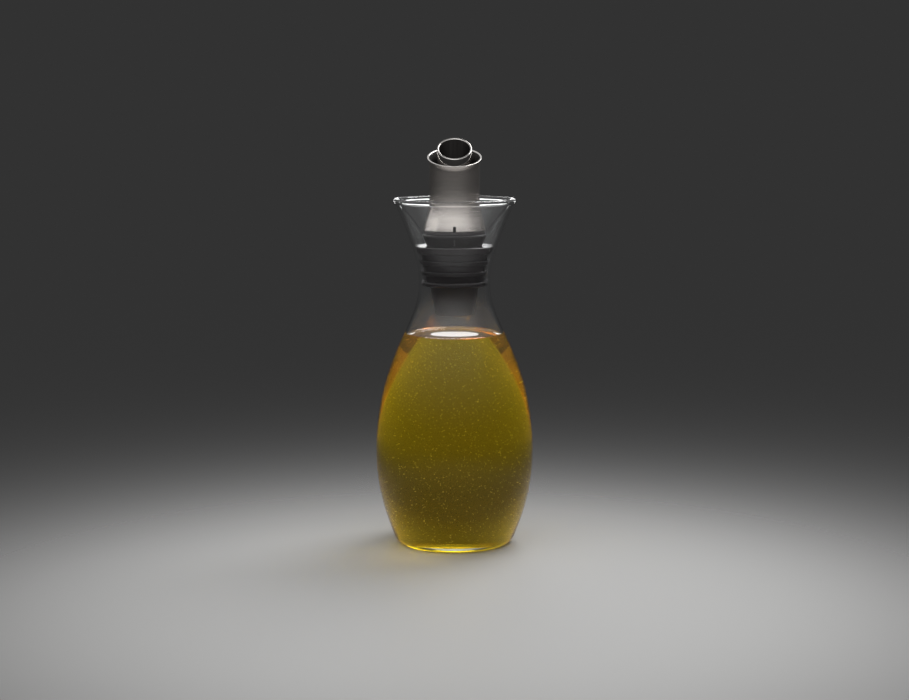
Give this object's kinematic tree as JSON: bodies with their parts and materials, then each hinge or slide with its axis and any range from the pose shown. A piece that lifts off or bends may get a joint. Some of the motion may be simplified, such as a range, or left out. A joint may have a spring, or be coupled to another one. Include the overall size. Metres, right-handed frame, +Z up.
{
  "type": "oil dispenser",
  "caption": "Waisted glass oil bottle with a flared mouth, a ribbed stopper in the neck and a twisting steel pouring head that selects drizzle or pour.",
  "frame": {"origin": "centre of the bottle's foot, on the surface that it stands on", "axes": "+Z up along the bottle's axis, -Y towards the pointer notch of the sleeve, so the spout's high side faces +Y"},
  "size_m": [0.0706, 0.0706, 0.1817],
  "materials": {
    "clear_glass": "clear polished glass",
    "grey_silicone": "satin moulded silicone",
    "grey_plastic": "satin moulded plastic",
    "gasket_silicone": "matt silicone",
    "dark_plastic": "fine matt moulded plastic",
    "glide_plastic": "satin moulded plastic",
    "brushed_steel": "brushed stainless steel, polished edges",
    "small_steel": "plain turned stainless steel",
    "black_rubber": "matt black rubber"
  },
  "bodies": {
    "bottle": {"glass_bottle": "clear_glass"},
    "stopper": {"silicone_stopper": "grey_silicone", "valve_body": "grey_plastic", "valve_gasket": "gasket_silicone", "breather_tube": "small_steel", "selector_collar": "dark_plastic", "glide_ring": "glide_plastic", "pivot_screw": "small_steel", "pivot_washer": "small_steel"},
    "pourer_head": {"selector_rotor": "dark_plastic", "rotor_o_ring": "black_rubber", "spout_tube": "brushed_steel", "pourer_sleeve": "brushed_steel"}
  },
  "joints": [
    {"name": "stopper_pull", "type": "slide", "parent": "bottle", "child": "stopper", "axis": [0, 0, 1], "range_m": [0, 0.06]},
    {"name": "selector_twist", "type": "hinge", "parent": "stopper", "child": "pourer_head", "pos_m": [0, 0, 0.1413], "axis": [0, 0, 1], "range_deg": [0, 90]}
  ]
}
